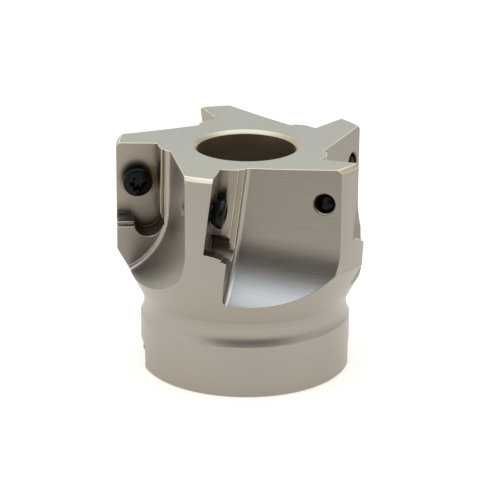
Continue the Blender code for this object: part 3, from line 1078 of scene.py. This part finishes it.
    def gullet_normals(self, places: np.ndarray, flat: np.ndarray) -> tuple[np.ndarray, np.ndarray]:
        """True normals of a gullet's floor and wall, in tooth space.

        On the floor the normal is (cos t, tan(tilt) cos t, sin t), made unit
        length, with t zero on the straight part and the angle about the arc's
        centre beyond; on the wall it is (0, 1, 0).

        Args:
            places: corner positions in tooth space.
            flat: the normal of each corner's face in tooth space.

        Returns:
            The normals, and which corners lie on floor or wall.
        """
        slope = np.tan(np.radians(self.gullet_tilt))
        drift = (places[:, 1] - self.pocket_depth) * slope
        across = self.gullet_floor + self.gullet_arc - drift - places[:, 0]
        below = np.maximum(-self.gullet_straight - places[:, 2], 0.0)
        turn = np.arctan2(below, across)
        exact = unit(np.column_stack([np.cos(turn), slope * np.cos(turn), np.sin(turn)]))
        on_floor = np.abs(np.hypot(below, across) - self.gullet_arc) < self.near_floor
        floor = within(exact, flat, np.where(on_floor, self.floor_edge_lean, self.floor_lean))
        wall = flat[:, 1] > np.cos(np.radians(self.facet_lean))
        exact[wall] = (0.0, 1.0, 0.0)
        return exact, floor | wall

    def pocket_normals(self, places: np.ndarray, flat: np.ndarray) -> tuple[np.ndarray, np.ndarray]:
        """True normals of a pocket's planes, its relief and its screw hole, in tooth space.

        The seat and step face (0, 1, 0), and the walls (cos d, sin d, 0) and
        (0, sin d, cos d), with d zero or the draft. The relief and the hole
        face their own axis. A rounded edge's corner that lies on the seat
        takes the seat's normal.

        Args:
            places: corner positions in tooth space.
            flat: the normal of each corner's face in tooth space.

        Returns:
            The normals, and which corners lie on such a surface.
        """
        draft = np.radians(self.pocket_draft)
        planes = np.array([
            (0.0, 1.0, 0.0), (1.0, 0.0, 0.0), (0.0, 0.0, 1.0),
            (np.cos(draft), np.sin(draft), 0.0), (0.0, np.sin(draft), np.cos(draft))])
        match = flat @ planes.T
        nearest = match.argmax(axis=1)
        exact = planes[nearest]
        lean = np.where(nearest == 0, self.facet_lean, self.wall_lean)
        found = match.max(axis=1) > np.cos(np.radians(lean))
        seat = (np.abs(places[:, 1]) < self.near_seat) & (flat[:, 1] > np.cos(np.radians(self.edge_lean)))
        exact[seat] = planes[0]
        found |= seat
        for x, z in (self.relief_centre, self.screw_centre):
            inward = unit(np.array([x, 0.0, z]) - places * (1.0, 0.0, 1.0))
            curved = ~found & within(inward, flat, self.facet_lean)
            exact[curved] = inward[curved]
            found |= curved
        return exact, found


@dataclass(frozen=True)
class InsertScrew:
    """An M4 insert screw with a domed countersunk head, set in a seat.

    Attributes:
        proud: how far the head's top stands over the seat.
        socket_floor: (share of the socket's radius, lift) over its hollow floor.
        socket_rim: (step out, drop) at the socket's rounded rim.
        thread_mean: level of the thread's wave that lies on the shank's radius.
    """

    length: float = 0.0076
    proud: float = 0.0028
    head_radius: float = 0.0028
    head_height: float = 0.0025
    rim_height: float = 0.00085
    rim_round: float = 0.0004
    rim_steps: int = 8
    dome_height: float = 0.00045
    dome_steps: int = 8
    neck_radius: float = 0.0021
    neck_corner: float = 0.00008
    tip_chamfer: float = 0.0004
    thread_radius: float = 0.0015
    thread_height: float = 0.00022
    thread_pitch: float = 0.0007
    thread_steps: int = 10
    thread_mean: float = 0.6
    socket_size: float = 0.0033
    socket_depth: float = 0.0014
    socket_lobes: int = 6
    socket_floor: tuple[tuple[float, float], ...] = (
        (0.0, -0.0001), (0.45, -0.00005), (0.93, 0.0), (1.0, 0.00008))
    socket_rim: tuple[tuple[float, float], ...] = ((0.0, 0.00008), (0.00003, 0.00002))
    socket_round: float = 0.00009
    waist_ratio: float = 0.72
    sides: int = 120
    sharp_angle: float = 50.0

    @property
    def ball(self) -> float:
        """Radius of the sphere through the head's top and rim: (r squared + h squared) / 2 h."""
        return (self.head_radius ** 2 + self.dome_height ** 2) / (2.0 * self.dome_height)

    def dome(self, radius: np.ndarray) -> np.ndarray:
        """Height of the domed head at a radius: a cap of the sphere."""
        return self.proud - self.ball + np.sqrt(self.ball ** 2 - radius ** 2)

    def socket(self, lobes: np.ndarray) -> list[Station]:
        """Socket from the middle of its floor up to its rim.

        Args:
            lobes: the socket's radius at each angle.

        Returns:
            (radius, height) of each station.
        """
        floor = self.proud - self.socket_depth
        rows = [(share * lobes, floor + lift) for share, lift in self.socket_floor]
        return rows + [(lobes + out, self.dome(lobes) - drop) for out, drop in self.socket_rim]

    def head(self, lobes: np.ndarray) -> list[Station]:
        """Head from the socket's rim to its largest circle.

        Over the dome, the socket's outline blends to the circle where the
        rounded rim touches the sphere.

        Args:
            lobes: the socket's radius at each angle.

        Returns:
            (radius, height) of each station.
        """
        inset = self.head_radius - self.rim_round
        lean = np.arcsin(inset / (self.ball - self.rim_round))
        rim_centre = (inset, self.proud - self.ball + (self.ball - self.rim_round) * np.cos(lean))
        rows = []
        for share in np.linspace(0.0, 1.0, self.dome_steps + 1):
            radius = (lobes + self.socket_round) * (1.0 - share) + self.ball * np.sin(lean) * share
            rows.append((radius, self.dome(radius)))
        rim = arc(rim_centre, self.rim_round, 90.0 - np.degrees(lean), 0.0, self.rim_steps)
        rim_low = self.proud - self.dome_height - self.rim_height
        return rows + [tuple(station) for station in rim[1:]] + [(self.head_radius, rim_low)]

    def shank(self, angle: np.ndarray) -> list[Station]:
        """Cone's foot, thread and tip.

        The radius rises and falls as a triangle wave of height / pitch minus
        turns, which makes the helix, and the wave grows over the first pitch.

        Args:
            angle: angles round the screw, in radians.

        Returns:
            (radius, height) of each station.
        """
        neck = self.proud - self.head_height
        tip = self.proud - self.length
        rows = [(self.neck_radius, neck + self.neck_corner), (self.neck_radius - self.neck_corner, neck)]
        for height in np.arange(neck, tip + self.tip_chamfer, -self.thread_pitch / self.thread_steps):
            fade = np.clip((neck - height) / self.thread_pitch, 0.0, 1.0)
            wave = np.abs(((height / self.thread_pitch - angle / (2.0 * np.pi)) % 1.0) * 2.0 - 1.0)
            swing = fade * self.thread_height * (wave - self.thread_mean)
            rows.append((self.thread_radius + swing, height))
        return rows + [(self.thread_radius - self.tip_chamfer, tip), (0.0, tip)]

    def points(self) -> np.ndarray:
        """Surface of the screw along its own Z, from the socket's floor to the tip.

        Row i is a station, column j an angle a. The socket's radius is its
        mean plus its swing times cos(6 a).

        Returns:
            Stations by sides by three coordinates.
        """
        angle = full_turn(self.sides)
        mean = self.socket_size * (1.0 + self.waist_ratio) / 4.0
        lobes = mean + (self.socket_size / 2.0 - mean) * np.cos(self.socket_lobes * angle)
        stations = self.socket(lobes) + self.head(lobes) + self.shank(angle)
        radius, height = (
            np.stack([np.broadcast_to(part, angle.shape) for part in parts]) for parts in zip(*stations))
        return turned_points(radius, height, angle)

    def build(self, tooth: int, placement: Matrix, finish: Material) -> Object:
        """One screw in its seat, its place in its mesh.

        Args:
            tooth: which seat, counted from zero.
            placement: the seat screw's frame, Y along the axis.
            finish: the screw's material.

        Returns:
            The screw object.
        """
        stand_up = Matrix.Rotation(np.radians(-90.0), 4, "X")
        name = f"insert_screw_fine_{tooth + 1}"
        mesh = surface_mesh(name, place(self.points(), placement @ stand_up), Ends.POLES)
        mesh.materials.append(finish)
        mesh.shade_smooth()
        mesh.set_sharp_from_angle(angle=np.radians(self.sharp_angle))
        return add_object(name, mesh)


@dataclass(frozen=True)
class Studio:
    """Pale floor, soft lights, and the camera that took the photograph.

    Attributes:
        yaw: turn of the view about the vertical, in radians, as pitch and roll are.
        lens: focal length in millimetres, as the sensor's width is.
        floor_glow: strength of the floor's own light near the mill.
        far_share: share of the glow that is left at the far end of far_span.
        front_share: share of the glow that is left at the near end of front_span.
        sky: elevation from the front horizon over the top to the back, glow and colour.
        side_span: sideways share of a direction where a side's glow begins and is full.
    """

    camera_place: tuple[float, float, float] = (-0.035019, -0.448041, 0.162926)
    yaw: float = 0.0798866
    pitch: float = 0.34652
    roll: float = 0.00833
    lens: float = 181.14
    sensor_width: float = 36.0
    clip_start: float = 0.01
    clip_end: float = 20.0
    floor_size: float = 6.0
    floor_colour: str = "a8a29a"
    floor_tint: str = "fff8ef"
    floor_glow: float = 0.66
    far_span: tuple[float, float] = (0.05, 0.17)
    far_share: float = 0.8
    front_span: tuple[float, float] = (-0.4, -0.1)
    front_share: float = 0.45
    sky: tuple[tuple[float, float, str], ...] = (
        (0.0, 0.15, "fff6e4"), (20.0, 0.15, "fff6e4"), (33.0, 0.27, "fffaf4"), (44.0, 0.85, "eef6ff"),
        (57.0, 2.50, "dbebff"), (80.0, 4.00, "d6e8ff"), (115.0, 2.70, "dfeeff"), (150.0, 1.17, "fafff4"),
        (165.0, 1.21, "fafff4"), (180.0, 1.45, "fafdf6"))
    side_span: tuple[float, float] = (0.405, 0.9)
    left_glow: float = 1.2
    right_glow: float = 0.85

    def build(self) -> None:
        """Set up the camera, the glowing floor and the room light."""
        self.camera()
        self.floor()
        self.world()
        bpy.context.scene.view_settings.view_transform = "Standard"

    def camera(self) -> None:
        """Camera at the fitted place; yaw, pitch and roll turn its axes."""
        level = np.cos(self.pitch)
        ahead = Vector((np.sin(self.yaw) * level, np.cos(self.yaw) * level, -np.sin(self.pitch)))
        right = Vector((np.cos(self.yaw), -np.sin(self.yaw), 0.0))
        up = right.cross(ahead)
        across = np.cos(self.roll) * right + np.sin(self.roll) * up
        upward = -np.sin(self.roll) * right + np.cos(self.roll) * up
        turn = Matrix((across, upward, -ahead)).transposed().to_4x4()
        data = bpy.data.cameras.new("photo_camera")
        data.sensor_width = self.sensor_width
        data.lens = self.lens
        data.clip_start = self.clip_start
        data.clip_end = self.clip_end
        camera = add_object("photo_camera", data)
        camera.matrix_world = Matrix.Translation(self.camera_place) @ turn
        bpy.context.scene.camera = camera

    def floor(self) -> None:
        """Matt pale floor at the height the mill stands on, its glow fading outwards and forwards."""
        half = self.floor_size / 2.0
        low = CAD_BOX[0].z
        square = [(-half, -half, low), (half, -half, low), (half, half, low), (-half, half, low)]
        mesh = bpy.data.meshes.new("floor")
        mesh.from_pydata(square, [], [(0, 1, 2, 3)])
        # Matt white paper: no gloss, and a glow of its own that keeps it pale
        material = bpy.data.materials.new("matt_white_paper")
        material.use_nodes = True
        tree = material.node_tree
        tree.nodes.clear()
        spot = add_node(tree, "TexCoord").outputs["Object"]
        parts = add_node(tree, "SeparateXYZ", {}, {"Vector": spot})
        away = add_node(tree, "VectorMath", {"operation": "LENGTH"}, {0: spot})
        near = add_node(
            tree, "MapRange",
            {"From Min": self.far_span[0], "From Max": self.far_span[1], "To Min": self.floor_glow,
             "To Max": self.floor_glow * self.far_share, "interpolation_type": "SMOOTHSTEP"},
            {"Value": away.outputs["Value"]})
        front = add_node(
            tree, "MapRange",
            {"From Min": self.front_span[0], "From Max": self.front_span[1], "To Min": self.front_share,
             "To Max": 1.0, "interpolation_type": "SMOOTHSTEP"},
            {"Value": parts.outputs["Y"]})
        glow = add_node(
            tree, "Math", {"operation": "MULTIPLY"},
            {0: near.outputs["Result"], 1: front.outputs["Result"]})
        shader = add_node(
            tree, "BsdfPrincipled",
            {"Base Color": linear(self.floor_colour), "Roughness": 0.9, "Specular IOR Level": 0.0,
             "Emission Color": linear(self.floor_tint)},
            {"Emission Strength": glow.outputs[0]})
        add_node(tree, "OutputMaterial", {}, {"Surface": shader.outputs["BSDF"]})
        mesh.materials.append(material)
        floor = add_object("floor", mesh)

    def world(self) -> None:
        """Soft room light that changes from the front over the top to the back.

        The ramp runs over the angle of (height, towards the front), in half
        turns; the two sides blend to an even glow with the sideways share.
        """
        world = bpy.data.worlds.new("studio_room")
        world.use_nodes = True
        tree = world.node_tree
        tree.nodes.clear()
        spot = add_node(tree, "TexCoord").outputs["Generated"]
        parts = add_node(tree, "SeparateXYZ", {}, {"Vector": spot})
        ahead = add_node(tree, "Math", {"operation": "MULTIPLY", 1: -1.0}, {0: parts.outputs["Y"]})
        over = add_node(
            tree, "Math", {"operation": "ARCTAN2"}, {0: parts.outputs["Z"], 1: ahead.outputs[0]})
        share = add_node(tree, "Math", {"operation": "DIVIDE", 1: np.pi}, {0: over.outputs[0]})
        ramp = add_node(tree, "ValToRGB", {}, {"Fac": share.outputs[0]})
        stops = ramp.color_ramp.elements
        while len(stops) < len(self.sky):
            stops.new(1.0)
        for stop, (angle, glow, code) in zip(stops, self.sky):
            stop.position = angle / 180.0
            stop.color = lit(code, glow)
        colour = ramp.outputs["Color"]
        begins, full = self.side_span
        for side, level in ((-1.0, self.left_glow), (1.0, self.right_glow)):
            blend = add_node(
                tree, "MapRange",
                {"From Min": side * begins, "From Max": side * full, "interpolation_type": "SMOOTHSTEP"},
                {"Value": parts.outputs["X"]})
            colour = add_node(
                tree, "Mix", {"data_type": "RGBA", SECOND: [level] * 3 + [1.0]},
                {SHARE: blend.outputs["Result"], FIRST: colour}).outputs[BLEND]
        glow = add_node(tree, "Background", {}, {"Color": colour})
        add_node(tree, "OutputWorld", {}, {"Surface": glow.outputs["Background"]})
        bpy.context.scene.world = world


def main() -> None:
    """Build the mill and its studio, and say what was made."""
    Studio().build()
    body = CutterBody()
    solid = body.build()
    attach(solid, "root")
    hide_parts("cutter_body")
    LOG.info("%s: %d faces", solid.name, len(solid.data.polygons))
    black = BLACK_OXIDE.material()
    for tooth in range(body.teeth):
        screw = InsertScrew().build(tooth, body.screw_frame(tooth), black)
        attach(screw, "root")
        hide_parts(f"insert_screw_{tooth + 1}")
        LOG.info("%s: %d faces", screw.name, len(screw.data.polygons))


if __name__ == "__main__":
    main()
